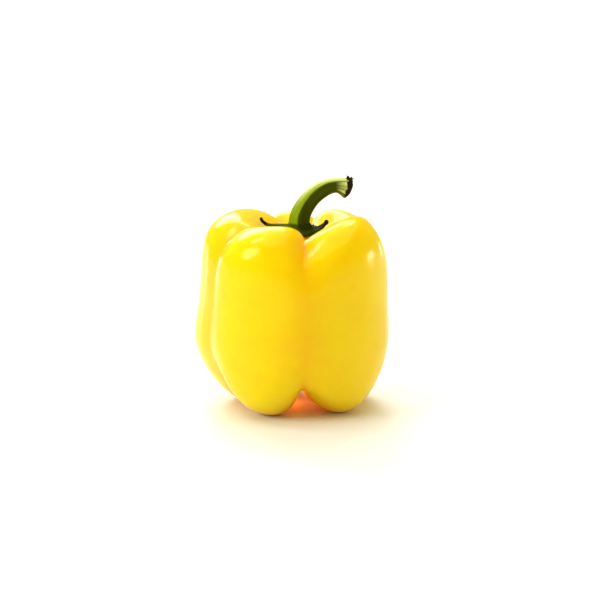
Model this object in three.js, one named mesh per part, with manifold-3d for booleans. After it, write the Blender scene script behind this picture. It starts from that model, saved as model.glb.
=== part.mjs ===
// A yellow bell pepper that stands on its lobes: the blocky pod, and the green stalk that
// grows out of the well in its top and spreads into a five-toothed calyx.
//
// Millimetres, +Z up. Azimuths are in degrees from the front (-Y) towards the right (+X).
import * as THREE from "three";
import Module from "manifold-3d";

// Pod.
const WELL_FLOOR = 74.5; // height of the flat seat that the calyx lies on
const WELL_SEAT = 8.5; // radius of that seat
const WELL_SHIFT = 2.5; // how far the well lies to the right of the pod's axis
const RIM = 28; // distance of the well's rim from its middle, on average
const DIMPLE = 11; // height of the blossom scar over the surface that the pod stands on
const FOOT_SINK = 0.5; // how far a foot is pressed flat

// Each lobe runs from one groove to the next. The second groove is at the azimuth to, and leans
// on round the pod by lean degrees near the shoulder. The lobe's shoulder is crest high, at the
// distance rim from the middle of the well, and highest at peak, as a share of the way across. It
// climbs to there steadily where rise is 1, and fast at first where rise is more.
// Its radius is waist below the shoulder, belly at its fullest, hip where it turns in, and foot
// at its lowest point, which lift holds off the surface.
const LOBES = [
  { to: 6, lean: 0, crest: 82.6, rim: 28, peak: 0.7, rise: 2.4, waist: 41.5, belly: 43.5, hip: 38, foot: 22, lift: 0 },
  { to: 84, lean: 4, crest: 85.4, rim: 29.5, peak: 0.56, rise: 1.2, waist: 42, belly: 43.2, hip: 38, foot: 24, lift: 0 },
  { to: 163, lean: 0, crest: 82.5, rim: 28, peak: 0.8, rise: 1, waist: 40, belly: 42, hip: 37, foot: 23, lift: 0 },
  { to: 207, lean: 0, crest: 81.3, rim: 26, peak: 0.6, rise: 2.4, waist: 39, belly: 41, hip: 33, foot: 20, lift: 4 },
  { to: 295.5, lean: 6, crest: 84, rim: 28, peak: 0.45, rise: 2.4, waist: 41.5, belly: 45.5, hip: 36, foot: 21, lift: 0 },
];

// The groove at the end of each lobe: its radius at the waist and the belly, and the height at
// which it crosses the rim of the well.
const GROOVES = [
  { waist: 40.3, belly: 42.4, saddle: 75.5 },
  { waist: 39.6, belly: 40.4, saddle: 77.5 },
  { waist: 37.5, belly: 38.5, saddle: 77.5 },
  { waist: 37, belly: 38.5, saddle: 78.2 },
  { waist: 39.2, belly: 40.6, saddle: 79.3 },
];

const DEGREE_STEP = 4.5; // width of the pod's facets, on average
const CROWDING = 0.6; // 0 for facets of one width, 1 for the narrowest beside the grooves
const RINGS = 42; // rings of facets from the well to the blossom scar

// Stalk, from its root in the calyx to the cut end: its middle line as x and z, and its radius.
// It leans left where it leaves the calyx, arches over to the right, and flares at the cut.
const STALK = [
  [1.9, 75.9, 6.6],
  [1.9, 77.4, 5.6],
  [1.5, 79.2, 5],
  [1.9, 82.4, 4.75],
  [3.4, 85.9, 4.5],
  [5.7, 89.3, 4.3],
  [8.1, 91.8, 4.15],
  [10.9, 93.8, 3.95],
  [14, 95.3, 3.65],
  [17.1, 95.9, 3.45],
  [19.6, 95.6, 3.95],
  [22.1, 94.9, 4.85],
  [23.3, 94.5, 3.4],
];
const STALK_RIBS = 5;
const RIB_RISE = 0.5; // 0 for a round stalk, 1 for one with flat sides between its ribs
const RIB_TURN = [90, 38]; // where one rib stands, from the outside of the arch to the front

// Calyx: a thick disc on the well's seat, and round it a thin wavy saucer that runs out into
// teeth. Between two teeth the saucer is WEB wide. At a tooth it is reach wide. It leaves the
// stalk at root height there, and curls up to the tooth's tip.
const CALYX_GAP = 0.3; // between the pod and the disc
const DISC_RADIUS = 7.4;
const DISC_THICKNESS = 2;
const SAUCER_ROOT = 3; // radius at which the saucer grows out of the stalk
const SAUCER_THICKNESS = 1.6; // at its root
const SAUCER_EDGE = 1.2;
const WEB = 8.6;
const TAPER = 4; // how fast a tooth narrows
const TEETH = [
  { azimuth: 12, reach: 12.4, root: 76.5, tip: 76.5, curl: 1 },
  { azimuth: 84, reach: 11.2, root: 76.7, tip: 80.6, curl: 2.5 },
  { azimuth: 150, reach: 10.5, root: 76.8, tip: 77, curl: 2 },
  { azimuth: 214, reach: 11, root: 77.2, tip: 77.5, curl: 2 },
  { azimuth: 280, reach: 18, root: 78.8, tip: 82, curl: 9 },
];

const mix = THREE.MathUtils.lerp;
const radians = THREE.MathUtils.degToRad;
const smoothstep = THREE.MathUtils.smoothstep;

// Outline of a lobe along its middle, as radius and height, from the well to the blossom scar.
function ridgeOutline({ crest, rim, waist, belly, hip, foot, lift }) {
  return [
    [0, WELL_FLOOR],
    [WELL_SEAT, WELL_FLOOR],
    [rim * 0.55, mix(WELL_FLOOR, crest, 0.36)],
    [rim * 0.76, crest - 1.6],
    [rim, crest],
    [mix(rim, waist, 0.48), crest - 2.8],
    [waist * 0.955, crest - 9.5],
    [waist, crest - 21],
    [mix(waist, belly, 0.25), 48],
    [belly, 30],
    [mix(belly, hip, 0.4), 18],
    [hip, 9 + lift / 2],
    [mix(foot, hip, 0.55), 2.2 + lift],
    [foot, lift - FOOT_SINK],
    [foot * 0.72, lift + 1.5],
    [foot * 0.42, mix(lift, DIMPLE, 0.7)],
    [foot * 0.2, DIMPLE],
    [0, DIMPLE],
  ];
}

// Outline of a groove, point for point beside the lobes' outline.
function grooveOutline({ waist, belly, saddle }) {
  return [
    [0, WELL_FLOOR],
    [WELL_SEAT, WELL_FLOOR],
    [RIM * 0.5, WELL_FLOOR + 0.2],
    [RIM * 0.66, mix(WELL_FLOOR, saddle, 0.6)],
    [RIM * 0.84, saddle],
    [waist * 0.72, saddle - 2],
    [waist * 0.93, saddle - 8],
    [waist, saddle - 18],
    [mix(waist, belly, 0.4), 46],
    [belly, 32],
    [belly * 0.93, 22],
    [belly * 0.74, 14.5],
    [21, 11.5],
    [16, 10.5],
    [12, 10.5],
    [8, DIMPLE],
    [4, DIMPLE],
    [0, DIMPLE],
  ];
}

const spline = (points) => new THREE.SplineCurve(points.map(([r, z]) => new THREE.Vector2(r, z)));

// How far out of the groove a point stands, 0 at a groove to 1 along the middle of a lobe.
// across runs from 0 to 1 over the lobe, and t from the well to the blossom scar. The valleys
// are soft on the flank, and sharp where the lobes part at the well and at the feet.
function swell(across, t, lobe) {
  const peak = mix(lobe.peak, 0.5, smoothstep(t, 0.2, 0.4));
  const [s, full] =
    across < peak ? [1 - across / peak, lobe.rise] : [(across - peak) / (1 - peak), 2.4];
  const soft = smoothstep(t, 0.22, 0.38) * (1 - smoothstep(t, 0.5, 0.76));
  return (1 - s ** mix(full, 2.6, soft)) ** mix(0.8, 1.5, soft);
}

// The pod as one closed grid of facets between two poles.
function podGeometry() {
  const ridges = LOBES.map((lobe) => spline(ridgeOutline(lobe)));
  const grooves = GROOVES.map((groove) => spline(grooveOutline(groove)));
  const columns = [];
  LOBES.forEach((lobe, i) => {
    const before = (i + LOBES.length - 1) % LOBES.length;
    const width = THREE.MathUtils.euclideanModulo(lobe.to - LOBES[before].to, 360);
    const facets = Math.round(width / DEGREE_STEP);
    for (let k = 0; k < facets; k++) {
      const across = mix(k / facets, (1 - Math.cos((Math.PI * k) / facets)) / 2, CROWDING);
      columns.push({ width, across, i, before });
    }
  });

  const point = ({ width, across, i, before }, t) => {
    const ease = across * across * (3 - 2 * across);
    const valley = grooves[before].getPoint(t).lerp(grooves[i].getPoint(t), ease);
    const at = valley.lerp(ridges[i].getPoint(t), swell(across, t, LOBES[i]));
    const lean = mix(LOBES[before].lean, LOBES[i].lean, across) * (1 - smoothstep(t, 0.3, 0.6));
    const a = radians(LOBES[i].to + lean - width * (1 - across));
    const shift = WELL_SHIFT * (1 - smoothstep(t, 0.1, 0.35));
    return [at.x * Math.sin(a) + shift, -at.x * Math.cos(a), Math.max(0, at.y)];
  };

  const positions = [...point(columns[0], 0)];
  for (let j = 1; j < RINGS; j++) {
    for (const column of columns) positions.push(...point(column, j / RINGS));
  }
  positions.push(...point(columns[0], 1));

  const n = columns.length;
  const at = (j, k) => (j === RINGS ? 1 + (RINGS - 1) * n : 1 + (j - 1) * n + (k % n));
  const index = [];
  const span = (a, b) =>
    Math.hypot(...[0, 1, 2].map((axis) => positions[3 * a + axis] - positions[3 * b + axis]));
  for (let k = 0; k < n; k++) {
    index.push(0, at(1, k), at(1, k + 1));
    for (let j = 1; j < RINGS - 1; j++) {
      const [a, b, c, d] = [at(j, k), at(j + 1, k), at(j + 1, k + 1), at(j, k + 1)];
      index.push(...(span(a, c) < span(b, d) ? [a, b, c, a, c, d] : [a, b, d, b, c, d]));
    }
    index.push(at(RINGS - 1, k + 1), at(RINGS - 1, k), at(RINGS, k));
  }
  const geometry = new THREE.BufferGeometry();
  geometry.setAttribute("position", new THREE.Float32BufferAttribute(positions, 3));
  geometry.setIndex(index);
  return geometry;
}

// A closed solid through rings of points that all have the same count, with flat ends.
function loft(rings) {
  const n = rings[0].length;
  const centre = (points) => points.reduce((sum, p) => sum.add(p), new THREE.Vector3()).divideScalar(n);
  const points = [...rings.flat(), centre(rings[0]), centre(rings.at(-1))];
  const first = rings.length * n;
  const index = [];
  for (let k = 0; k < n; k++) {
    const next = (k + 1) % n;
    for (let j = 0; j + 1 < rings.length; j++) {
      const [a, b] = [j * n + k, j * n + next];
      index.push(a, b, a + n, b, b + n, a + n);
    }
    index.push(next, k, first, first - n + k, first - n + next, first + 1);
  }
  const geometry = new THREE.BufferGeometry();
  geometry.setFromPoints(points);
  geometry.setIndex(index);
  return geometry;
}

// Points round a ring, each put in its place by its angle.
const ringOf = (count, place) =>
  Array.from({ length: count }, (_, k) => place((2 * Math.PI * k) / count));

// The ribbed stalk.
function stalkGeometry() {
  const line = spline(STALK.map(([x, z]) => [x, z]));
  const width = spline(STALK.map(([, , radius]) => [radius, 0]));
  const steps = 3 * (STALK.length - 1);
  return loft(
    Array.from({ length: steps + 1 }, (_, j) => {
      const t = j / steps;
      const at = line.getPoint(t);
      const along = line.getTangent(t);
      const lean = Math.atan2(along.y, along.x);
      const turn = radians(mix(...RIB_TURN, t));
      return ringOf(6 * STALK_RIBS, (step) => {
        const angle = step + turn;
        const half = Math.PI / STALK_RIBS;
        const flat = Math.cos(half) / Math.cos((step % (2 * half)) - half);
        const radius = width.getPoint(t).x * mix(1, flat, RIB_RISE);
        const over = radius * Math.cos(angle);
        return new THREE.Vector3(
          at.x - over * Math.sin(lean), -radius * Math.sin(angle), at.y + over * Math.cos(lean),
        );
      });
    }),
  );
}

// The calyx's disc, a little narrower where it lies on the seat.
function discGeometry() {
  const bottom = WELL_FLOOR + CALYX_GAP;
  const levels = [
    [DISC_RADIUS - 0.6, bottom],
    [DISC_RADIUS, bottom + 0.5],
    [DISC_RADIUS - 0.3, bottom + DISC_THICKNESS],
  ];
  return loft(
    levels.map(([radius, z]) =>
      ringOf(40, (angle) =>
        new THREE.Vector3(WELL_SHIFT + radius * Math.cos(angle), radius * Math.sin(angle), z),
      ),
    ),
  );
}

// The calyx's saucer: out under it from the root to the edge, and back over its top.
function saucerGeometry() {
  const out = [0, 0.15, 0.3, 0.45, 0.6, 0.74, 0.87, 0.96, 1];
  const under = out.map((s) => [s, -0.5]);
  const over = out.map((s) => [s, 0.5]).reverse();
  const perTooth = 16;
  return loft(
    [...under, ...over].map(([s, side]) =>
      ringOf(TEETH.length * perTooth, (angle) => {
        const column = Math.round((angle / (2 * Math.PI)) * TEETH.length * perTooth);
        const i = Math.floor(column / perTooth);
        const [tooth, next] = [TEETH[i], TEETH[(i + 1) % TEETH.length]];
        const step = (column % perTooth) / perTooth;
        const across = mix(step, (1 - Math.cos(Math.PI * step)) / 2, CROWDING);
        const gap = THREE.MathUtils.euclideanModulo(next.azimuth - tooth.azimuth, 360);
        const azimuth = radians(tooth.azimuth + gap * across);
        const near = across < 0.5 ? tooth : next;
        const point = (1 - 2 * Math.min(across, 1 - across)) ** TAPER;
        const radius = mix(SAUCER_ROOT, mix(WEB, near.reach, point), s);
        const root = mix(tooth.root, next.root, smoothstep(across, 0, 1));
        const curl = Math.sqrt(point) * (radius / near.reach) ** near.curl;
        const middle = root + (near.tip - near.root) * curl;
        const z = middle + side * mix(SAUCER_THICKNESS, SAUCER_EDGE, s);
        return new THREE.Vector3(
          WELL_SHIFT + radius * Math.sin(azimuth), -radius * Math.cos(azimuth), z,
        );
      }),
    ),
  );
}

// Stalk and calyx as the one grown piece that they are.
async function stemGeometry() {
  const wasm = await Module();
  wasm.setup();
  const solid = ({ attributes, index }) =>
    new wasm.Manifold(
      new wasm.Mesh({
        numProp: 3,
        vertProperties: Float32Array.from(attributes.position.array),
        triVerts: Uint32Array.from(index.array),
      }),
    );
  const pieces = [stalkGeometry(), discGeometry(), saucerGeometry()];
  const mesh = wasm.Manifold.union(pieces.map(solid)).getMesh();
  const geometry = new THREE.BufferGeometry();
  geometry.setAttribute("position", new THREE.BufferAttribute(mesh.vertProperties, 3));
  geometry.setIndex(new THREE.BufferAttribute(mesh.triVerts, 1));
  return geometry;
}

const skin = new THREE.MeshStandardMaterial({ color: 0xf7cf0a, roughness: 0.25, metalness: 0 });
const green = new THREE.MeshStandardMaterial({ color: 0x6f8f24, roughness: 0.55, metalness: 0 });

const pod = new THREE.Mesh(podGeometry(), skin);
pod.name = "pod";
const stem = new THREE.Mesh(await stemGeometry(), green);
stem.name = "stem";

// The origin is the middle of the box round the pepper, on the surface that it stands on.
const pepper = new THREE.Group();
pepper.add(pod, stem);
const middle = new THREE.Box3().setFromObject(pepper).getCenter(new THREE.Vector3());
for (const piece of pepper.children) piece.geometry.translate(-middle.x, -middle.y, 0);

export default pepper;
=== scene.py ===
"""A yellow bell pepper on a white surface: its glossy pod, and its ribbed stalk and calyx.

Sizes are in millimetres in the tables, as on the grown fruit, and in metres in the meshes.
Azimuths are in degrees from the front (-Y) towards the right (+X).
"""
import logging
import math
from dataclasses import dataclass, field
from enum import Enum

import bpy
import numpy as np
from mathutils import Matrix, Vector, noise


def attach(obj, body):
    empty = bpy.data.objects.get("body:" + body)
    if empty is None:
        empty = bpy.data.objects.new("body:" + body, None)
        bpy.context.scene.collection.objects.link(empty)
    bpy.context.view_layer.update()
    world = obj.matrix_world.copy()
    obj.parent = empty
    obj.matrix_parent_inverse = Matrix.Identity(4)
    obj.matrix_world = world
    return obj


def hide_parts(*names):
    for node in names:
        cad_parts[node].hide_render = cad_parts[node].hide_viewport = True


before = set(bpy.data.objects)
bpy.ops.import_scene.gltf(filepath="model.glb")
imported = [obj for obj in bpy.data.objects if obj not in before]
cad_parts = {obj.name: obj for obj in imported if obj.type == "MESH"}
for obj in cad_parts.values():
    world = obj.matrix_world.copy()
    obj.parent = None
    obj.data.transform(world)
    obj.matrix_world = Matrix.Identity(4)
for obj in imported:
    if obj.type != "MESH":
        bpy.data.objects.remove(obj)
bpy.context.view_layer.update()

log = logging.getLogger("bell_pepper")

MM = 0.001


def mix(a: float, b: float, t: float) -> float:
    """Returns the value a share t of the way from a to b."""
    return a + (b - a) * t


def smoothstep(x: float, low: float, high: float) -> float:
    """Returns 0 below low, 1 above high, and a smooth rise between."""
    t = min(1.0, max(0.0, (x - low) / (high - low)))
    return t * t * (3 - 2 * t)


def crowd(even: float, share: float) -> float:
    """Returns an even step from 0 to 1, moved towards the nearer end.

    Args:
        even: the step.
        share: how strongly it moves, from 0 to 1.
    """
    return mix(even, (1 - math.cos(math.pi * even)) / 2, share)


class Spline:
    """A smooth line through points, an equal share of its run from each to the next."""

    def __init__(self, points: list[tuple[float, ...]]) -> None:
        """Keeps the points.

        Args:
            points: what the line passes through, in order.
        """
        self.points = [np.array(point, float) for point in points]

    def at(self, t: float) -> np.ndarray:
        """Returns the point a share t of the way along.

        Args:
            t: 0 at the first point to 1 at the last.

        Returns:
            The point, with as many numbers as each given point has.
        """
        last = len(self.points) - 1
        run = t * last
        i = min(int(run), last - 1)
        w = run - i
        p0, p1 = self.points[max(i - 1, 0)], self.points[i]
        p2, p3 = self.points[i + 1], self.points[min(i + 2, last)]
        v1, v2 = (p2 - p0) / 2, (p3 - p1) / 2
        cube = (2 * p1 - 2 * p2 + v1 + v2) * w**3
        square = (-3 * p1 + 3 * p2 - 2 * v1 - v2) * w**2
        return cube + square + v1 * w + p1


def deselect() -> None:
    """Leaves object mode with nothing selected."""
    if bpy.context.object and bpy.context.object.mode != "OBJECT":
        bpy.ops.object.mode_set(mode="OBJECT")
    bpy.ops.object.select_all(action="DESELECT")


def choose(piece: bpy.types.Object) -> None:
    """Makes a piece the only selected object, and the active one."""
    deselect()
    piece.select_set(True)
    bpy.context.view_layer.objects.active = piece


def apply_modifier(piece: bpy.types.Object, kind: str, **settings: object) -> None:
    """Adds a modifier to a piece and applies it.

    Args:
        piece: the mesh object.
        kind: the modifier's type, such as SUBSURF.
        settings: the modifier's own values by name.
    """
    choose(piece)
    modifier = piece.modifiers.new(kind.title(), kind)
    for name, value in settings.items():
        setattr(modifier, name, value)
    bpy.ops.object.modifier_apply(modifier=modifier.name)


def face_outwards(piece: bpy.types.Object) -> None:
    """Merges a piece's doubles, turns its faces outwards and shades it smooth."""
    choose(piece)
    bpy.ops.object.mode_set(mode="EDIT")
    bpy.ops.mesh.select_all(action="SELECT")
    bpy.ops.mesh.remove_doubles(threshold=1e-7)
    bpy.ops.mesh.normals_make_consistent(inside=False)
    bpy.ops.object.mode_set(mode="OBJECT")
    bpy.ops.object.shade_smooth()


def settle(piece: bpy.types.Object) -> None:
    """Puts a piece's place into its mesh, so that its object sits at the origin."""
    choose(piece)
    bpy.ops.object.transform_apply(location=True, rotation=True, scale=True)


def set_attribute(piece: bpy.types.Object, name: str, values: np.ndarray) -> None:
    """Stores one number for each vertex of a piece, for its material to read."""
    layer = piece.data.attributes.new(name, "FLOAT", "POINT")
    layer.data.foreach_set("value", np.asarray(values, np.float32))


def coordinates(piece: bpy.types.Object) -> np.ndarray:
    """Returns the places of a piece's vertices as rows of three numbers."""
    places = np.empty(len(piece.data.vertices) * 3, np.float32)
    piece.data.vertices.foreach_get("co", places)
    return places.reshape(-1, 3)


class Value:
    """A socket or a number in a material, on which Python's operators add Math nodes."""

    def __init__(self, shader: "Shader", source: object) -> None:
        """Keeps the socket or number, and the material that it belongs to."""
        self.shader = shader
        self.source = source

    def _math(self, operation: str, *values: object) -> "Value":
        """Adds a Math node and returns its result."""
        return self.shader.node(
            "ShaderNodeMath", {"operation": operation}, dict(enumerate(values))
        )

    def __add__(self, other: object) -> "Value":
        """Returns this plus other."""
        return self._math("ADD", self, other)

    def __sub__(self, other: object) -> "Value":
        """Returns this minus other."""
        return self._math("SUBTRACT", self, other)

    def __rsub__(self, other: object) -> "Value":
        """Returns other minus this."""
        return self._math("SUBTRACT", other, self)

    def __mul__(self, other: object) -> "Value":
        """Returns this times other."""
        return self._math("MULTIPLY", self, other)

    def __pow__(self, other: object) -> "Value":
        """Returns this to the power of other."""
        return self._math("POWER", self, other)

    __radd__ = __add__
    __rmul__ = __mul__

    def sharpen(self, low: float, high: float) -> "Value":
        """Returns 0 where this is below low, 1 above high, and a smooth rise between."""
        return self.shader.node(
            "ShaderNodeMapRange",
            {"interpolation_type": "SMOOTHSTEP"},
            {"Value": self, "From Min": low, "From Max": high},
        )


class Shader:
    """A material under construction."""

    def __init__(self, name: str) -> None:
        """Makes an empty node material.

        Args:
            name: the finish's plain name.
        """
        self.material = bpy.data.materials.new(name)
        self.material.use_nodes = True
        self.tree = self.material.node_tree
        self.tree.nodes.clear()

    def node(
        self,
        kind: str,
        settings: dict[str, object] | None = None,
        sockets: dict[str | int, object] | None = None,
        output: str | int = 0,
    ) -> Value:
        """Adds one node.

        Args:
            kind: the node's type.
            settings: the node's own values by name, set before its sockets.
            sockets: what goes into each socket, by name or number.
            output: which of its results to return.

        Returns:
            The chosen result.
        """
        made = self.tree.nodes.new(kind)
        for name, value in (settings or {}).items():
            setattr(made, name, value)
        for key, value in (sockets or {}).items():
            if isinstance(value, Value):
                value = value.source
            if isinstance(value, bpy.types.NodeSocket):
                self.tree.links.new(value, made.inputs[key])
            else:
                made.inputs[key].default_value = value
        return Value(self, made.outputs[output] if made.outputs else None)

    def place(self) -> Value:
        """Returns the surface's place on the object, in metres."""
        return self.node("ShaderNodeTexCoord", output="Object")

    def attribute(self, name: str) -> Value:
        """Returns the number that a piece stores for each vertex under a name."""
        return self.node("ShaderNodeAttribute", {"attribute_name": name}, output="Fac")

    def noise(self, place: Value, size: float, detail: float = 3.0, rough: float = 0.55) -> Value:
        """Returns a cloudy pattern from 0 to 1.

        Args:
            place: where the pattern is read.
            size: the width of its clouds, in metres.
            detail: how many finer layers it has.
            rough: how strong the finer layers are.
        """
        sockets = {"Vector": place, "Scale": 1 / size, "Detail": detail, "Roughness": rough}
        return self.node("ShaderNodeTexNoise", {}, sockets)

    def blend(self, share: Value, first: object, second: object) -> Value:
        """Returns a colour a share of the way from the first to the second."""
        sockets: dict[str | int, object] = {0: share}
        for key, colour in ((6, first), (7, second)):
            sockets[key] = (*colour, 1.0) if isinstance(colour, tuple) else colour
        settings = {"data_type": "RGBA", "clamp_factor": True}
        return self.node("ShaderNodeMix", settings, sockets, output=2)

    def bump(self, height: Value, distance: float) -> Value:
        """Returns a normal that follows a height, which distance in metres scales."""
        return self.node("ShaderNodeBump", {}, {"Height": height, "Distance": distance})

    def finish(self, **sockets: object) -> bpy.types.Material:
        """Closes the material with a Principled surface.

        Args:
            sockets: what goes into each socket, with _ for a space in its name.

        Returns:
            The material.
        """
        values = {}
        for name, value in sockets.items():
            is_colour = isinstance(value, tuple) and name != "Subsurface_Radius"
            values[name.replace("_", " ")] = (*value, 1.0) if is_colour else value
        surface = self.node("ShaderNodeBsdfPrincipled", {}, values)
        self.node("ShaderNodeOutputMaterial", {}, {"Surface": surface})
        return self.material


Colour = tuple[float, float, float]


@dataclass(frozen=True)
class RipeSkin:
    """The waxy yellow skin of the pod."""

    yellow: Colour = (0.84, 0.67, 0.0)
    deep: Colour = (0.82, 0.55, 0.0)
    painted_groove_shade: Colour = (0.8, 0.45, 0.0)
    painted_under_glow: Colour = (0.85, 0.24, 0.0)
    scar: Colour = (0.30, 0.19, 0.07)
    roughness: float = 0.14
    scar_radius: float = 3.2 * MM
    cloud_size: float = 22 * MM
    mottle_size: float = 3.5 * MM
    swell_size: float = 9 * MM
    pore_size: float = 0.55 * MM
    crust_size: float = 0.8 * MM
    relief: float = 0.35 * MM
    flesh_depth: float = 35 * MM

    def make(self) -> bpy.types.Material:
        """Returns the finish, with its mottling, pores and blossom scar, painted orange shading in
        its grooves and a painted red-orange glow low on its underside.
        """
        shader = Shader("ripe_skin")
        place = shader.place()
        valley = shader.attribute("valley")
        clouds = shader.noise(place, self.cloud_size, 2.0)
        mottle = shader.noise(place, self.mottle_size, 4.0, 0.6)
        colour = shader.blend(clouds.sharpen(0.35, 0.7) * 0.35, self.yellow, self.deep)
        colour = shader.blend(mottle.sharpen(0.45, 0.75) * 0.18, colour, self.deep)
        # Painted shading: the grooves turn deeper orange the deeper they lie.
        colour = shader.blend((valley**2) * 0.4, colour, self.painted_groove_shade)
        # Painted glow: low on the underside, near the blossom scar, the skin turns red-orange,
        # standing in for light trapped beneath the pod.
        colour = shader.blend(shader.attribute("under"), colour, self.painted_under_glow)
        scar = 1 - shader.attribute("scar_distance").sharpen(
            self.scar_radius * 0.55, self.scar_radius
        )
        colour = shader.blend(scar, colour, self.scar)
        pores = shader.noise(place, self.pore_size, 2.0)
        swells = shader.noise(place, self.swell_size, 1.0)
        crust = shader.noise(place, self.crust_size)
        height = swells * 0.55 + pores * 0.035 + scar * crust * 0.6
        return shader.finish(
            Base_Color=colour,
            Roughness=mottle * 0.06 + (self.roughness - 0.03) + scar * 0.5,
            Normal=shader.bump(height, self.relief),
            Subsurface_Weight=0.85,
            Subsurface_Radius=(1.0, 0.3, 0.03),
            Subsurface_Scale=self.flesh_depth,
            Specular_Tint=(1.0, 0.95, 0.55),
            IOR=1.35,
        )


@dataclass(frozen=True)
class GreenStalk:
    """The stalk and calyx: streaked green, with a dry brown cut and brown tips, a painted shaded
    side and a painted highlight along its top.
    """

    green: Colour = (0.26, 0.38, 0.003)
    dark_green_and_shade: Colour = (0.022, 0.034, 0.001)
    pale_and_highlight: Colour = (0.62, 0.68, 0.22)
    brown: Colour = (0.025, 0.014, 0.006)
    roughness: float = 0.42
    streak_size: float = 0.16
    blotch_size: float = 2.6 * MM
    crumb_size: float = 0.5 * MM
    relief: float = 0.3 * MM
    flesh_depth: float = 1.2 * MM

    def make(self) -> bpy.types.Material:
        """Returns the finish, with streaks along the stalk and cork at its cut."""
        shader = Shader("green_stalk")
        place = shader.place()
        along = shader.attribute("along")
        around = shader.attribute("around")
        dry = shader.attribute("dry")
        leaf = shader.attribute("leaf")
        streak_place = shader.node(
            "ShaderNodeCombineXYZ", {}, {"X": around, "Y": along * 0.12, "Z": leaf}
        )
        streaks = shader.noise(streak_place, self.streak_size)
        blotches = shader.noise(place, self.blotch_size)
        colour = shader.blend(streaks.sharpen(0.35, 0.75) * 0.35, self.green, self.dark_green_and_shade)
        # Painted shading: the stalk's side away from the light is darkened, broken up by the
        # streaks.
        painted_shade = shader.attribute("painted_shade") * 0.9 + streaks * 0.16 - 0.08
        colour = shader.blend(painted_shade, colour, self.dark_green_and_shade)
        colour = shader.blend(leaf * 0.85, colour, self.dark_green_and_shade)
        # Paler patch on the flare by the cut, plus a painted highlight along the upper side.
        pale_and_highlight = shader.attribute("pale_and_highlight") * (1 - streaks.sharpen(0.45, 0.6) * 0.6)
        colour = shader.blend(pale_and_highlight, colour, self.pale_and_highlight)
        colour = shader.blend(blotches.sharpen(0.5, 0.8) * 0.2, colour, self.dark_green_and_shade)
        cork = dry.sharpen(0.35, 0.65)
        colour = shader.blend(cork, colour, self.brown)
        crumbs = shader.noise(place, self.crumb_size, 4.0, 0.7)
        height = streaks * 0.5 + blotches * 0.25 + cork * crumbs * 1.6
        return shader.finish(
            Base_Color=colour,
            Roughness=cork * 0.4 + leaf * 0.35 + streaks * 0.12 + (self.roughness - 0.06),
            Normal=shader.bump(height, self.relief),
            Subsurface_Weight=0.08,
            Subsurface_Radius=(0.5, 1.0, 0.15),
            Subsurface_Scale=self.flesh_depth,
            Specular_Tint=(0.9, 1.0, 0.4),
            IOR=1.15,
        )


@dataclass(frozen=True)
class WhiteSurface:
    """The plain white surface that the pepper stands on."""

    white: Colour = (0.95, 0.95, 0.95)
    roughness: float = 0.5

    def make(self) -> bpy.types.Material:
        """Returns the finish."""
        return Shader("white_surface").finish(Base_Color=self.white, Roughness=self.roughness)


@dataclass(frozen=True)
class Well:
    """The well in the pod's top, where the calyx lies."""

    floor: float = 74.5
    seat: float = 8.5
    shift: float = 2.5
    rim: float = 28.0


@dataclass(frozen=True)
class Lobe:
    """One lobe of the pod, from the groove before it to the groove at azimuth to."""

    to: float
    lean: float
    crest: float
    rim: float
    peak: float
    rise: float
    waist: float
    belly: float
    hip: float
    foot: float
    lift: float

    def outline(self, well: Well, dimple: float, sink: float) -> Spline:
        """Returns the line down the lobe's middle.

        Args:
            well: the well that it starts in.
            dimple: height of the blossom scar.
            sink: how far the foot is pressed flat.

        Returns:
            Radius and height, from the well to the blossom scar.
        """
        return Spline(
            [
                (0, well.floor),
                (well.seat, well.floor),
                (self.rim * 0.55, mix(well.floor, self.crest, 0.36)),
                (self.rim * 0.76, self.crest - 1.6),
                (self.rim, self.crest),
                (mix(self.rim, self.waist, 0.48), self.crest - 2.8),
                (self.waist * 0.955, self.crest - 9.5),
                (self.waist, self.crest - 21),
                (mix(self.waist, self.belly, 0.25), 48),
                (self.belly, 30),
                (mix(self.belly, self.hip, 0.4), 18),
                (self.hip, 9 + self.lift / 2),
                (mix(self.foot, self.hip, 0.55), 2.2 + self.lift),
                (self.foot, self.lift - sink),
                (self.foot * 0.72, self.lift + 1.5),
                (self.foot * 0.42, mix(self.lift, dimple, 0.7)),
                (self.foot * 0.2, dimple),
                (0, dimple),
            ]
        )


@dataclass(frozen=True)
class Groove:
    """The groove at the end of a lobe."""

    waist: float
    belly: float
    saddle: float

    def outline(self, well: Well, dimple: float) -> Spline:
        """Returns the line down the groove, point for point beside the lobes'.

        Args:
            well: the well that it starts in.
            dimple: height of the blossom scar.

        Returns:
            Radius and height, from the well to the blossom scar.
        """
        return Spline(
            [
                (0, well.floor),
                (well.seat, well.floor),
                (well.rim * 0.5, well.floor + 0.2),
                (well.rim * 0.66, mix(well.floor, self.saddle, 0.6)),
                (well.rim * 0.84, self.saddle),
                (self.waist * 0.72, self.saddle - 2),
                (self.waist * 0.93, self.saddle - 8),
                (self.waist, self.saddle - 18),
                (mix(self.waist, self.belly, 0.4), 46),
                (self.belly, 32),
                (self.belly * 0.93, 22),
                (self.belly * 0.74, 14.5),
                (21, 11.5),
                (16, 10.5),
                (12, 10.5),
                (8, dimple),
                (4, dimple),
                (0, dimple),
            ]
        )


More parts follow.
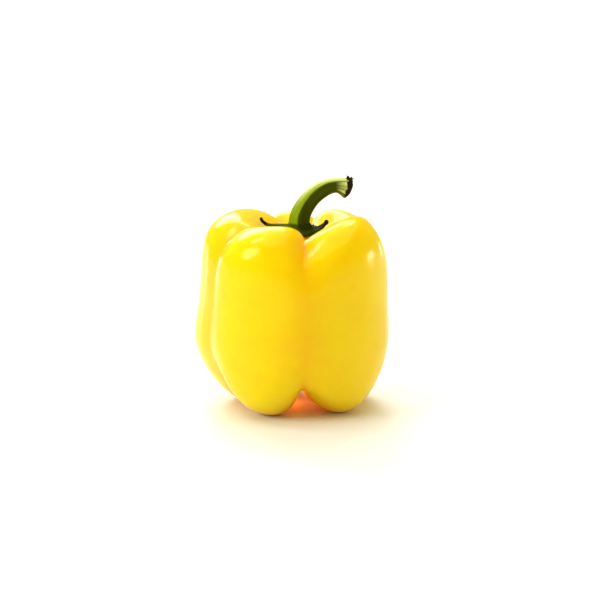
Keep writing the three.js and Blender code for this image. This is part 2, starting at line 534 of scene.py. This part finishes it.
@dataclass
class Pod:
    """The blocky fruit: lobes round a well at the top, and feet round a scar beneath."""

    well: Well = field(default_factory=Well)
    dimple: float = 11.0
    sink: float = 0.5
    degree_step: float = 4.5
    crowding: float = 0.6
    rings: int = 42
    softening: int = 20
    fall: float = 2.4
    flank_power: float = 2.6
    shoulder_fullness: float = 0.8
    flank_fullness: float = 1.5
    # How high and how far out from the scar the painted glow on the underside reaches.
    glow_height: float = 20.0
    glow_reach: float = 22.0
    lobes: tuple[Lobe, ...] = (
        Lobe(6, 0, 82.6, 28, 0.7, 2.4, 41.5, 43.5, 38, 22, 0),
        Lobe(84, 4, 85.4, 29.5, 0.56, 1.2, 42, 43.2, 38, 24, 0),
        Lobe(163, 0, 82.5, 28, 0.8, 1, 40, 42, 37, 23, 0),
        Lobe(207, 0, 81.3, 26, 0.6, 2.4, 39, 41, 33, 20, 4),
        Lobe(295.5, 6, 84, 28, 0.45, 2.4, 41.5, 45.5, 36, 21, 0),
    )
    grooves: tuple[Groove, ...] = (
        Groove(40.3, 42.4, 75.5),
        Groove(39.6, 40.4, 77.5),
        Groove(37.5, 38.5, 77.5),
        Groove(37, 38.5, 78.2),
        Groove(39.2, 40.6, 79.3),
    )

    def columns(self) -> list[tuple[float, float, int]]:
        """Returns each column's lobe's width in degrees, its share across it, and the lobe."""
        made = []
        for i, lobe in enumerate(self.lobes):
            width = (lobe.to - self.lobes[i - 1].to) % 360
            facets = round(width / self.degree_step)
            for k in range(facets):
                made.append((width, crowd(k / facets, self.crowding), i))
        return made

    def swell(self, across: float, t: float, lobe: Lobe) -> float:
        """Returns how far out of the groove a point stands.

        Args:
            across: 0 to 1 over the lobe.
            t: 0 at the well to 1 at the blossom scar.
            lobe: the lobe.

        Returns:
            0 at a groove to 1 along the middle of the lobe.
        """
        peak = mix(lobe.peak, 0.5, smoothstep(t, 0.2, 0.4))
        s = 1 - across / peak if across < peak else (across - peak) / (1 - peak)
        power = lobe.rise if across < peak else self.fall
        flank = smoothstep(t, 0.22, 0.38) * (1 - smoothstep(t, 0.5, 0.76))
        out = max(0.0, 1 - s ** mix(power, self.flank_power, flank))
        return out ** mix(self.shoulder_fullness, self.flank_fullness, flank)

    def surface(self) -> tuple[np.ndarray, np.ndarray]:
        """Works the skin out.

        Returns:
            The places of the skin's grid in millimetres, ring by ring from the well to the
            scar, and how deep in a groove each lies, from 0 to 1.
        """
        ridges = [lobe.outline(self.well, self.dimple, self.sink) for lobe in self.lobes]
        grooves = [groove.outline(self.well, self.dimple) for groove in self.grooves]
        columns = self.columns()
        places = np.zeros((self.rings + 1, len(columns), 3))
        depth = np.zeros((self.rings + 1, len(columns)))
        for j in range(self.rings + 1):
            t = j / self.rings
            shift = self.well.shift * (1 - smoothstep(t, 0.1, 0.35))
            ridge_points = [ridge.at(t) for ridge in ridges]
            groove_points = [groove.at(t) for groove in grooves]
            for k, (width, across, i) in enumerate(columns):
                ease = smoothstep(across, 0, 1)
                valley = groove_points[i - 1] * (1 - ease) + groove_points[i] * ease
                out = self.swell(across, t, self.lobes[i])
                radius, height = valley + (ridge_points[i] - valley) * out
                lean = mix(self.lobes[i - 1].lean, self.lobes[i].lean, across)
                lean *= 1 - smoothstep(t, 0.3, 0.6)
                a = math.radians(self.lobes[i].to + lean - width * (1 - across))
                places[j, k] = (
                    radius * math.sin(a) + shift, -radius * math.cos(a), max(0.0, height)
                )
                depth[j, k] = 1 - out
        return places, depth

    def build(self, middle: Vector) -> bpy.types.Object:
        """Shapes the skin from a ball of rings and columns.

        Args:
            middle: what to take off every place, in millimetres.

        Returns:
            The finished piece.
        """
        places, depth = self.surface()
        count = places.shape[1]
        deselect()
        bpy.ops.mesh.primitive_uv_sphere_add(segments=count, ring_count=self.rings, radius=1)
        piece = bpy.context.object
        piece.name = "pod_skin"
        unit = coordinates(piece).astype(float)
        ring = np.rint(np.arccos(np.clip(unit[:, 2], -1, 1)) / math.pi * self.rings).astype(int)
        turn = np.arctan2(unit[:, 0], -unit[:, 1]) / (2 * math.pi) * count
        column = np.rint(turn).astype(int) % count
        moved = (places[ring, column] - np.array(middle)) * MM
        piece.data.vertices.foreach_set("co", moved.astype(np.float32).ravel())
        piece.data.update()
        set_attribute(piece, "valley", depth[ring, column])
        apply_modifier(piece, "SUBSURF", levels=2, render_levels=2)
        apply_modifier(piece, "SMOOTH", factor=0.5, iterations=self.softening)
        where = coordinates(piece)
        scar = np.array([-middle.x, -middle.y, self.dimple - middle.z]) * MM
        set_attribute(piece, "scar_distance", np.linalg.norm(where - scar, axis=1))
        # Mask for the painted red-orange glow: low on the pod and near the blossom scar beneath
        # it.
        inner = np.linalg.norm(where[:, :2] - scar[:2], axis=1)
        low = np.clip(1 - where[:, 2] / (self.glow_height * MM), 0, 1)
        near = np.clip(1.6 - inner / (self.glow_reach * MM), 0, 1)
        set_attribute(piece, "under", low * near)
        face_outwards(piece)
        piece.data.materials.append(RipeSkin().make())
        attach(piece, "root")
        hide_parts("pod")
        return piece


@dataclass(frozen=True)
class Tooth:
    """One tooth of the calyx, and the saucer's run to it."""

    azimuth: float
    reach: float
    root: float
    tip: float
    curl: float


@dataclass
class Stem:
    """The stalk, the disc under it and the toothed saucer, grown as one piece."""

    well: Well = field(default_factory=Well)
    line: tuple[tuple[float, float, float], ...] = (
        (1.9, 75.9, 6.6),
        (1.9, 77.4, 5.6),
        (1.5, 79.2, 5),
        (1.9, 82.4, 4.75),
        (3.4, 85.9, 4.5),
        (5.7, 89.3, 4.3),
        (8.1, 91.8, 4.15),
        (10.9, 93.8, 3.95),
        (14, 95.3, 3.65),
        (17.1, 95.9, 3.45),
        (19.6, 95.6, 3.95),
        (22.1, 94.9, 4.85),
        (23.3, 94.5, 3.4),
    )
    ribs: int = 5
    rib_rise: float = 0.6
    rib_turn: tuple[float, float] = (90, 38)
    gap: float = 0.3
    disc_radius: float = 7.4
    disc_thickness: float = 2.0
    saucer_root: float = 3.0
    saucer_thickness: float = 1.6
    saucer_edge: float = 1.2
    web: float = 8.6
    crowding: float = 0.6
    taper: float = 4.0
    per_tooth: int = 20
    shares: tuple[float, ...] = (0, 0.15, 0.3, 0.45, 0.6, 0.72, 0.82, 0.9, 0.96, 1)
    teeth: tuple[Tooth, ...] = (
        Tooth(12, 12.4, 76.5, 76.5, 1),
        Tooth(84, 11.2, 76.7, 80.6, 2.5),
        Tooth(150, 10.5, 76.8, 77, 2),
        Tooth(214, 11, 77.2, 77.5, 2),
        Tooth(280, 18, 78.8, 82, 9),
    )
    stations: int = 48
    cork: float = 0.5
    tufts: tuple[tuple[float, float, float, float, float], ...] = (
        (21.9, -1.0, 99.7, 2.4, -12),
        (22.5, -0.2, 99.6, 1.6, 25),
        (23.6, -1.2, 99.1, 1.9, 18),
        (24.1, 0.6, 98.6, 1.7, 40),
    )
    knobs: tuple[tuple[float, float, float, float], ...] = (
        (13.0, -1.2, 80.2, 1.05),
        (-14.9, -3.1, 81.9, 0.75),
    )
    samples: int = 200
    cut_way: tuple[float, float] = (0.956, -0.29)
    cork_depth: float = 2.0
    cork_extra: float = 1.2
    fibre_height: float = 99.3
    calyx_top: float = 84.0
    collar_top: float = 80.2
    leaf_radius: float = 6.0
    right_tip_radius: float = 9.0
    left_tip_radius: float = 14.5
    crumb: float = 0.32
    voxel: float = 0.22

    def stalk(self) -> bpy.types.Object:
        """Draws the stalk out of a ring, station by station, and bends it along its line.

        Returns:
            The closed stalk, in millimetres.
        """
        spline = Spline(list(self.line))
        points = [spline.at(j / self.stations) for j in range(self.stations + 1)]
        turns = [mix(*self.rib_turn, j / self.stations) for j in range(self.stations + 1)]
        end = points[-1] - points[-2]
        end *= self.cork / np.hypot(*end[:2])
        points.append(np.array([*(points[-1] + end)[:2], points[-1][2] * 0.6]))
        turns.append(turns[-1])
        runs = [0.0]
        for a, b in zip(points, points[1:]):
            runs.append(runs[-1] + float(np.hypot(*(b - a)[:2])))
        sides = 8 * self.ribs
        deselect()
        bpy.ops.mesh.primitive_circle_add(vertices=sides, radius=1, fill_type="NGON")
        stalk = bpy.context.object
        half = math.pi / self.ribs
        for vertex in stalk.data.vertices:
            angle = math.atan2(vertex.co.y, vertex.co.x) % (2 * half)
            flat = math.cos(half) / math.cos(angle - half)
            vertex.co *= mix(1, flat, self.rib_rise) * points[0][2]
        bpy.ops.object.mode_set(mode="EDIT")
        bpy.ops.mesh.select_all(action="SELECT")
        for j in range(1, len(points)):
            rise = runs[j] - runs[j - 1]
            grow = points[j][2] / points[j - 1][2]
            centre = (0, 0, runs[j])
            bpy.ops.mesh.extrude_region_move(TRANSFORM_OT_translate={"value": (0, 0, rise)})
            bpy.ops.transform.resize(value=(grow, grow, 1), center_override=centre)
            twist = math.radians(turns[j] - turns[j - 1])
            bpy.ops.transform.rotate(value=-twist, orient_axis="Z", center_override=centre)
        bpy.ops.object.mode_set(mode="OBJECT")
        face_outwards(stalk)
        start = math.radians(turns[0])
        for vertex in stalk.data.vertices:
            j = min(range(len(points)), key=lambda i: abs(runs[i] - vertex.co.z))
            x, z, _ = points[j]
            ahead = points[min(j + 1, len(points) - 1)] - points[max(j - 1, 0)]
            lean = math.atan2(ahead[1], ahead[0])
            angle = math.atan2(vertex.co.y, vertex.co.x) + start
            radius = math.hypot(vertex.co.x, vertex.co.y)
            over = radius * math.cos(angle)
            vertex.co = (
                x - over * math.sin(lean), -radius * math.sin(angle), z + over * math.cos(lean)
            )
        stalk.data.update()
        return stalk

    def tuft(self, x: float, y: float, z: float, height: float, lean: float) -> bpy.types.Object:
        """Returns one torn fibre on the rim of the cut.

        Args:
            x: place of its middle, in millimetres.
            y: the same.
            z: the same.
            height: its length.
            lean: how far it leans to the right, in degrees.
        """
        deselect()
        bpy.ops.mesh.primitive_cone_add(
            vertices=8,
            radius1=0.55,
            radius2=0.2,
            depth=height,
            location=(x, y, z),
            rotation=(0, math.radians(lean), 0),
        )
        fibre = bpy.context.object
        settle(fibre)
        return fibre

    def knob(self, x: float, y: float, z: float, radius: float) -> bpy.types.Object:
        """Returns the blunt dry end of a tooth.

        Args:
            x: place of its middle, in millimetres.
            y: the same.
            z: the same.
            radius: half its width.
        """
        deselect()
        bpy.ops.mesh.primitive_ico_sphere_add(subdivisions=2, radius=radius, location=(x, y, z))
        knob = bpy.context.object
        bpy.ops.transform.resize(value=(1.0, 0.9, 1.15), center_override=(x, y, z))
        settle(knob)
        return knob

    def disc(self) -> bpy.types.Object:
        """Returns the disc that lies on the well's seat, in millimetres."""
        bottom = self.well.floor + self.gap
        deselect()
        bpy.ops.mesh.primitive_cylinder_add(
            vertices=48,
            radius=self.disc_radius,
            depth=self.disc_thickness,
            location=(self.well.shift, 0, bottom + self.disc_thickness / 2),
        )
        disc = bpy.context.object
        settle(disc)
        apply_modifier(disc, "BEVEL", width=0.5, segments=2, limit_method="ANGLE")
        return disc

    def saucer(self) -> bpy.types.Object:
        """Returns the toothed saucer, drawn outwards from a ring, in millimetres."""
        count = len(self.teeth) * self.per_tooth
        deselect()
        bpy.ops.mesh.primitive_circle_add(vertices=count, radius=1, fill_type="NGON")
        saucer = bpy.context.object
        bpy.ops.object.mode_set(mode="EDIT")
        bpy.ops.mesh.select_all(action="SELECT")
        bpy.ops.mesh.delete(type="ONLY_FACE")
        bpy.ops.mesh.select_all(action="SELECT")
        for before, share in zip(self.shares, self.shares[1:]):
            bpy.ops.mesh.extrude_region_move()
            grow = (1 + share) / (1 + before)
            bpy.ops.transform.resize(value=(grow, grow, 1), center_override=(0, 0, 0))
        bpy.ops.object.mode_set(mode="OBJECT")
        for vertex in saucer.data.vertices:
            share = min(self.shares, key=lambda s: abs(1 + s - vertex.co.length))
            column = round(math.atan2(vertex.co.x, -vertex.co.y) / (2 * math.pi) * count) % count
            i, step = divmod(column, self.per_tooth)
            tooth, following = self.teeth[i], self.teeth[(i + 1) % len(self.teeth)]
            across = crowd(step / self.per_tooth, self.crowding)
            azimuth = tooth.azimuth + (following.azimuth - tooth.azimuth) % 360 * across
            near = tooth if across < 0.5 else following
            point = (1 - 2 * min(across, 1 - across)) ** self.taper
            radius = mix(self.saucer_root, mix(self.web, near.reach, point), share)
            root = mix(tooth.root, following.root, smoothstep(across, 0, 1))
            curl = math.sqrt(point) * (radius / near.reach) ** near.curl
            height = root + (near.tip - near.root) * curl
            a = math.radians(azimuth)
            vertex.co = (
                self.well.shift + radius * math.sin(a), -radius * math.cos(a), height
            )
        saucer.data.update()
        choose(saucer)
        bpy.ops.object.mode_set(mode="EDIT")
        bpy.ops.mesh.select_all(action="SELECT")
        bpy.ops.mesh.normals_make_consistent(inside=False)
        bpy.ops.object.mode_set(mode="OBJECT")
        thickness = mix(self.saucer_edge, self.saucer_thickness, 0.4)
        apply_modifier(saucer, "SOLIDIFY", thickness=thickness, offset=0)
        return saucer

    def follow(self, where: np.ndarray) -> tuple[np.ndarray, np.ndarray, np.ndarray, float]:
        """Works out how points lie about the stalk's line.

        Args:
            where: the points, in millimetres.

        Returns:
            How far along the line each point is, in millimetres and as a share of the line's
            points, its angle round the line from its upper side to the front, in radians, and
            the whole line's run.
        """
        spline = Spline(list(self.line))
        centre = np.array([spline.at(j / self.samples)[:2] for j in range(self.samples + 1)])
        flat = where[:, [0, 2]]
        nearest = np.linalg.norm(flat[:, None, :] - centre[None], axis=2).argmin(axis=1)
        steps = np.linalg.norm(np.diff(centre, axis=0), axis=1)
        run = np.concatenate([[0], np.cumsum(steps)])
        ahead = np.gradient(centre, axis=0)[nearest]
        lean = np.arctan2(ahead[:, 1], ahead[:, 0])
        offset = flat - centre[nearest]
        over = -offset[:, 0] * np.sin(lean) + offset[:, 1] * np.cos(lean)
        return run[nearest], nearest / self.samples, np.arctan2(-where[:, 1], over), run[-1]

    def corkiness(self, where: np.ndarray) -> np.ndarray:
        """Returns how far points, in millimetres, lie in the dry cut: 0 to 1 over its edge."""
        x, _, z = where.T
        end_x, end_z, _ = self.line[-1]
        beyond = (x - end_x) * self.cut_way[0] + (z - end_z) * self.cut_way[1]
        ragged = np.array([noise.noise(Vector(point) * 1.1) for point in where])
        deep = self.cork_depth + self.cork_extra * np.clip((z - 95.5) / 3.5, 0, 1)
        cork = np.clip((beyond + deep + ragged * 0.9) / 0.7, 0, 1)
        return np.maximum(cork, np.clip((z - self.fibre_height) / 0.3, 0, 1))

    def dress(self, piece: bpy.types.Object, middle: Vector) -> None:
        """Stores what the green finish reads for each vertex, with its painted shading and painted
        highlight, and crumbles the cork.

        Args:
            piece: the whole stem, in metres.
            middle: what was taken off every place, in millimetres.
        """
        where = coordinates(piece) / MM + np.array(middle)
        along, share, around, length = self.follow(where)
        radius = np.hypot(where[:, 0] - self.well.shift, where[:, 1])
        is_calyx = where[:, 2] < self.calyx_top
        collar = np.clip((self.collar_top - where[:, 2]) / 0.8, 0, 1)
        leaf = np.clip((radius - self.leaf_radius) / 1.5, 0, 1) * is_calyx
        # Where the stalk's lit side meets its painted shaded side; it turns round the stalk along
        # its length.
        crease = np.radians(np.interp(share, [0, 1], self.rib_turn))
        past = np.degrees((around - crease + math.pi) % (2 * math.pi) - math.pi)
        painted_shade = np.clip(past / 12 + 0.5, 0, 1) * np.clip((165 - past) / 20, 0, 1)
        painted_shade = np.maximum(painted_shade, past < -150)
        cork = self.corkiness(where)
        right_tip = np.clip((radius - self.right_tip_radius) / 1.2, 0, 1) * is_calyx
        right_tip *= where[:, 0] > 8
        left_tip = np.clip((radius - self.left_tip_radius) / 2, 0, 1) * is_calyx
        flare = np.clip((along - length * 0.8) / 5, 0, 1)
        flare = flare * flare * (3 - 2 * flare) * (1 - cork)
        # Painted highlight: the upper side of the stalk turns paler beyond its first quarter.
        top_highlight = np.clip(1.5 - np.abs(np.degrees(around) - 8) / 32, 0, 1)
        top_highlight *= np.clip((along - length * 0.25) / 9, 0, 1)
        pale_and_highlight = np.maximum(flare * np.clip(past / 10, 0, 1) * (past < 75), top_highlight)
        set_attribute(piece, "along", along / 10)
        set_attribute(piece, "around", around / math.pi * 2)
        set_attribute(piece, "leaf", np.maximum(leaf, collar))
        set_attribute(piece, "dry", np.maximum(cork, np.maximum(right_tip, left_tip)))
        set_attribute(piece, "painted_shade", painted_shade * (1 - flare * 0.4))
        set_attribute(piece, "pale_and_highlight", pale_and_highlight)
        normals = np.empty(len(where) * 3, np.float32)
        piece.data.vertices.foreach_get("normal", normals)
        crumbs = np.array([noise.noise(Vector(point) * 2.2) for point in where])
        crumbs *= self.crumb * cork
        places = where - np.array(middle) + normals.reshape(-1, 3) * crumbs[:, None]
        piece.data.vertices.foreach_set("co", (places * MM).astype(np.float32).ravel())
        piece.data.update()

    def build(self, middle: Vector) -> bpy.types.Object:
        """Fuses the stalk, disc and saucer into one grown piece.

        Args:
            middle: what to take off every place, in millimetres.

        Returns:
            The finished piece.
        """
        parts = [self.stalk(), self.disc(), self.saucer()]
        parts += [self.tuft(*numbers) for numbers in self.tufts]
        parts += [self.knob(*numbers) for numbers in self.knobs]
        deselect()
        for part in parts:
            part.select_set(True)
        bpy.context.view_layer.objects.active = parts[0]
        bpy.ops.object.join()
        piece = bpy.context.object
        piece.name = "stem_green"
        piece.data.transform(piece.matrix_world)
        piece.matrix_world.identity()
        apply_modifier(piece, "REMESH", mode="VOXEL", voxel_size=self.voxel)
        apply_modifier(piece, "SMOOTH", factor=0.5, iterations=4)
        places = (coordinates(piece) - np.array(middle)) * MM
        piece.data.vertices.foreach_set("co", places.astype(np.float32).ravel())
        piece.data.update()
        self.dress(piece, middle)
        face_outwards(piece)
        piece.data.materials.append(GreenStalk().make())
        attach(piece, "root")
        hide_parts("stem")
        return piece


class Shape(Enum):
    """The kinds of soft light: a wide even one from far away, a near panel, or a small bulb."""

    WIDE = "SUN"
    PANEL = "AREA"
    BULB = "POINT"


@dataclass(frozen=True)
class SoftLight:
    """One soft light, and where it stands as seen from the pepper."""

    name: str
    shape: Shape
    azimuth: float
    elevation: float
    power: float
    colour: Colour = (1.0, 1.0, 1.0)
    spread: float = 40.0
    width: float = 0.1
    height: float = 0.1
    distance: float = 1.0

    def hang(self) -> None:
        """Adds the light, pointed at the pepper."""
        data = bpy.data.lights.new(self.name, self.shape.value)
        data.energy = self.power
        data.color = self.colour
        if self.shape is Shape.WIDE:
            data.angle = math.radians(self.spread)
        elif self.shape is Shape.BULB:
            data.shadow_soft_size = self.width / 2
        else:
            data.shape = "RECTANGLE"
            data.size, data.size_y = self.width, self.height
        a, e = math.radians(self.azimuth), math.radians(self.elevation)
        way = Vector((math.sin(a) * math.cos(e), -math.cos(a) * math.cos(e), math.sin(e)))
        light = bpy.data.objects.new(self.name, data)
        bpy.context.collection.objects.link(light)
        light.location = way * self.distance + Vector((0, 0, 50 * MM))
        light.rotation_euler = (-way).to_track_quat("-Z", "Y").to_euler()
        light.visible_camera = False


@dataclass
class Studio:
    """The white surface, the soft lights and the camera."""

    target: tuple[float, float, float] = (1.7, 0.0, 45.8)
    elevation: float = 12.0
    distance: float = 760.0
    lens: float = 105.1
    sensor: float = 36.0
    floor_side: float = 40.0
    sky: float = 0.48
    sky_colour: Colour = (1.0, 0.86, 0.52)
    lights: tuple[SoftLight, ...] = (
        SoftLight("window_light", Shape.WIDE, -68, 27, 1.35, spread=27),
        SoftLight("ceiling_light", Shape.WIDE, 0, 90, 1.2, spread=70),
        SoftLight("back_light", Shape.WIDE, -162, 34, 1.6, spread=35),
        SoftLight("high_back_light", Shape.WIDE, 168, 56, 0.55, spread=20),
        SoftLight("upper_left_panel", Shape.PANEL, -97, 57, 1.1, width=0.18, height=0.27),
        SoftLight("right_panel", Shape.PANEL, 99, 2, 0.8, width=0.25, height=0.1),
        SoftLight("right_strip", Shape.PANEL, 132, 1, 0.25, width=0.07, height=0.14),
        SoftLight(
            "left_strip", Shape.PANEL, -129, -2, 0.04, width=0.02, height=0.12, distance=0.35
        ),
        SoftLight(
            "flesh_glow", Shape.BULB, 0, -90, 0.0019, (1.0, 0.24, 0.0), width=0.012, distance=0.045
        ),
    )

    def surface(self) -> None:
        """Lays the white surface."""
        deselect()
        bpy.ops.mesh.primitive_plane_add(size=self.floor_side)
        floor = bpy.context.object
        floor.name = "white_surface"
        floor.data.materials.append(WhiteSurface().make())

    def light(self) -> None:
        """Hangs the lights and fills the white room with a little warm light."""
        for light in self.lights:
            light.hang()
        world = bpy.data.worlds.new("warm_room")
        world.use_nodes = True
        tree = world.node_tree
        fill = tree.nodes["Background"]
        fill.inputs["Color"].default_value = (*self.sky_colour, 1)
        fill.inputs["Strength"].default_value = self.sky
        wall = tree.nodes.new("ShaderNodeBackground")
        wall.inputs["Color"].default_value = (1, 1, 1, 1)
        path = tree.nodes.new("ShaderNodeLightPath")
        choice = tree.nodes.new("ShaderNodeMixShader")
        tree.links.new(path.outputs["Is Camera Ray"], choice.inputs[0])
        tree.links.new(fill.outputs["Background"], choice.inputs[1])
        tree.links.new(wall.outputs["Background"], choice.inputs[2])
        tree.links.new(choice.outputs["Shader"], tree.nodes["World Output"].inputs["Surface"])
        bpy.context.scene.world = world
        bpy.context.scene.view_settings.view_transform = "Standard"

    def camera(self, middle: Vector) -> None:
        """Sets the camera where the picture was taken from.

        Args:
            middle: what was taken off every place, in millimetres.
        """
        tilt = math.radians(self.elevation)
        back = Vector((0, -math.cos(tilt), math.sin(tilt)))
        data = bpy.data.cameras.new("camera")
        data.lens, data.sensor_width = self.lens, self.sensor
        camera = bpy.data.objects.new("camera", data)
        bpy.context.collection.objects.link(camera)
        target = Vector(self.target) - Vector((middle.x, middle.y, 0))
        camera.location = (target + back * self.distance) * MM
        camera.rotation_euler = (-back).to_track_quat("-Z", "Y").to_euler()
        bpy.context.scene.camera = camera


def middle_of_part(pod: Pod) -> Vector:
    """Returns what the part's source takes off every place to bring its middle to the origin.

    Args:
        pod: the pod, whose box is the part's box seen from above.
    """
    places, _ = pod.surface()
    low, high = places.min(axis=(0, 1)), places.max(axis=(0, 1))
    return Vector(((low[0] + high[0]) / 2, (low[1] + high[1]) / 2, 0))


def main() -> None:
    """Builds the pepper and its studio."""
    logging.basicConfig(level=logging.INFO, format="%(message)s")
    pod = Pod()
    middle = middle_of_part(pod)
    log.info("middle %s", [round(c, 3) for c in middle])
    for piece in (pod.build(middle), Stem().build(middle)):
        log.info("%s: %d faces", piece.name, len(piece.data.polygons))
    studio = Studio()
    studio.surface()
    studio.light()
    studio.camera(middle)


if __name__ == "__main__":
    main()
